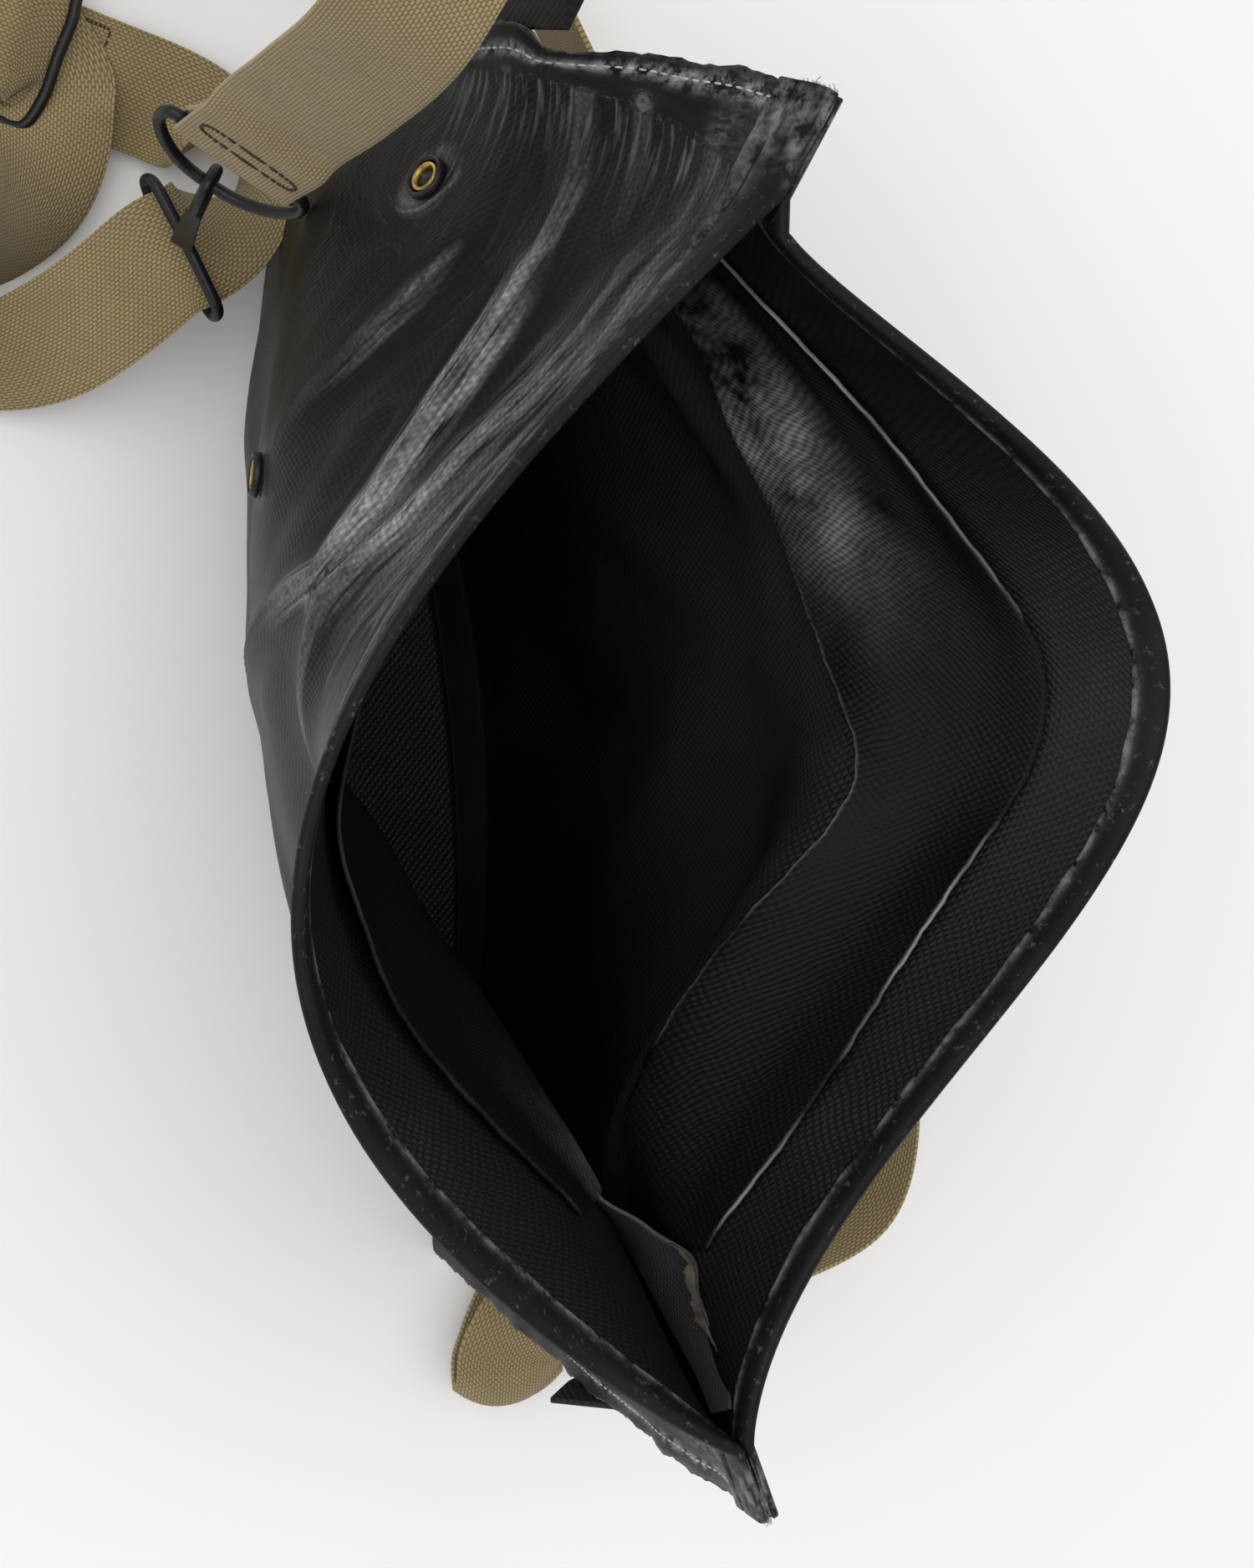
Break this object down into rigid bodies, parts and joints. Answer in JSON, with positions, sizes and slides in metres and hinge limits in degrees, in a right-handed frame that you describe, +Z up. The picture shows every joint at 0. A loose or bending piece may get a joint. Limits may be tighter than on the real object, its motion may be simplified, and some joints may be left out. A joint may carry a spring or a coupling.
{
  "type": "gas mask bag",
  "caption": "Soft rubberised cloth bag standing open on its base, with bands inside the mouth, press studs on the front and a web shoulder strap with a snap hook and slide.",
  "frame": {"origin": "middle of the underside of the base, on the surface that the bag stands on", "axes": "+Z up out of the mouth, X from the left side seam at -X to the right side seam at +X, front panel towards -Y"},
  "size_m": [0.4544, 0.2638, 0.2479],
  "materials": {
    "rubberised_cloth": "matt with a chalky bloom",
    "band_cloth": "satin",
    "webbing": "woven",
    "black_metal": "semi-gloss black",
    "brass": "worn"
  },
  "bodies": {
    "root": {"front_panel": "rubberised_cloth", "rear_panel": "rubberised_cloth", "base_panel": "rubberised_cloth", "left_tab": "rubberised_cloth", "right_tab": "rubberised_cloth", "front_inner_band": "band_cloth", "rear_inner_band": "band_cloth", "ring_strap": "webbing", "shoulder_strap": "webbing", "strap_ring": "black_metal", "snap_hook": "black_metal", "hook_gate": "black_metal", "strap_slide": "black_metal", "stud_ring_1": "black_metal", "stud_ring_2": "black_metal", "stud_ring_3": "black_metal", "stud_ring_4": "black_metal", "stud_cup_1": "brass", "stud_cup_2": "brass", "stud_cup_3": "brass", "stud_cup_4": "brass"}
  },
  "joints": []
}
